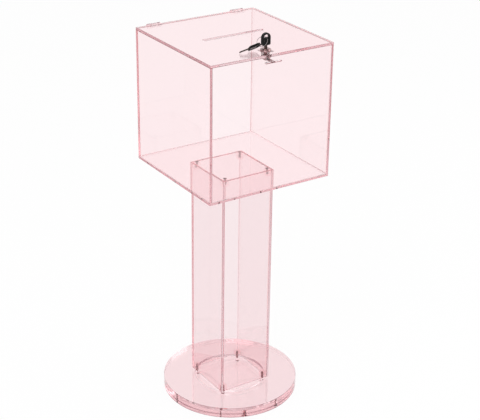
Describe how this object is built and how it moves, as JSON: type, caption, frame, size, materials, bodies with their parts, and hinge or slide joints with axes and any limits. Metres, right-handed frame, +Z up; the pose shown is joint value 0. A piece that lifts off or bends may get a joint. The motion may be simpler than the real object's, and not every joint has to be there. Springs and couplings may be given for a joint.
{
  "type": "ballot box",
  "caption": "Clear acrylic ballot box with a slotted, hinged and lockable lid, standing on a square hollow column with a round base.",
  "frame": {"origin": "middle of the round base's underside, on the floor", "axes": "+Z up, the front with the lock towards -Y, the ballot slot along X"},
  "size_m": [0.31, 0.31, 0.886],
  "materials": {
    "clear_acrylic": "clear with a faint rose tint, polished",
    "black_steel": "dark, oiled",
    "steel": "plain",
    "chrome": "polished",
    "key_metal": "satin",
    "black_plastic": "satin"
  },
  "bodies": {
    "stand": {"base_lower_layer": "clear_acrylic", "base_upper_layer": "clear_acrylic", "base_screws": "black_steel", "column_left_wall": "clear_acrylic", "column_right_wall": "clear_acrylic", "column_front_wall": "clear_acrylic", "column_back_wall": "clear_acrylic", "column_foot_blocks": "clear_acrylic", "column_top_blocks": "clear_acrylic", "box_floor_screws": "black_steel", "box_floor": "clear_acrylic", "box_left_wall": "clear_acrylic", "box_right_wall": "clear_acrylic", "box_back_wall": "clear_acrylic", "box_front_wall": "clear_acrylic", "left_hinge_box_leaf": "clear_acrylic", "right_hinge_box_leaf": "clear_acrylic", "left_hinge_pin": "steel", "right_hinge_pin": "steel"},
    "lid": {"lid_panel": "clear_acrylic", "left_hinge_lid_leaf": "clear_acrylic", "right_hinge_lid_leaf": "clear_acrylic", "lock_body": "chrome", "lock_clip": "steel"},
    "lock_core": {"lock_plug": "chrome", "lock_cam": "steel", "cam_screw": "steel"},
    "key": {"key_blade": "key_metal", "key_bow": "black_plastic"},
    "ring": {"key_ring": "steel"},
    "spare_key": {"spare_key_blade": "key_metal", "spare_key_bow": "black_plastic"}
  },
  "joints": [
    {"name": "lid_hinge", "type": "hinge", "parent": "stand", "child": "lid", "pos_m": [0, 0.1523, 0.85], "axis": [-1, 0, 0], "range_deg": [0, 110]},
    {"name": "lock_turn", "type": "hinge", "parent": "lid", "child": "lock_core", "pos_m": [0, -0.12, 0.85], "axis": [0, 0, -1], "range_deg": [0, 90]},
    {"name": "key_pull", "type": "slide", "parent": "lock_core", "child": "key", "axis": [0, 0, 1], "range_m": [0, 0.018]},
    {"name": "ring_swing", "type": "hinge", "parent": "key", "child": "ring", "pos_m": [-0.00311, -0.12, 0.87817], "axis": [0, 1, 0], "range_deg": [0, 60]},
    {"name": "spare_key_swing", "type": "hinge", "parent": "ring", "child": "spare_key", "pos_m": [-0.01909, -0.11999, 0.86257], "axis": [-0.1182, 0.613, 0.7812], "range_deg": [0, 40]}
  ]
}
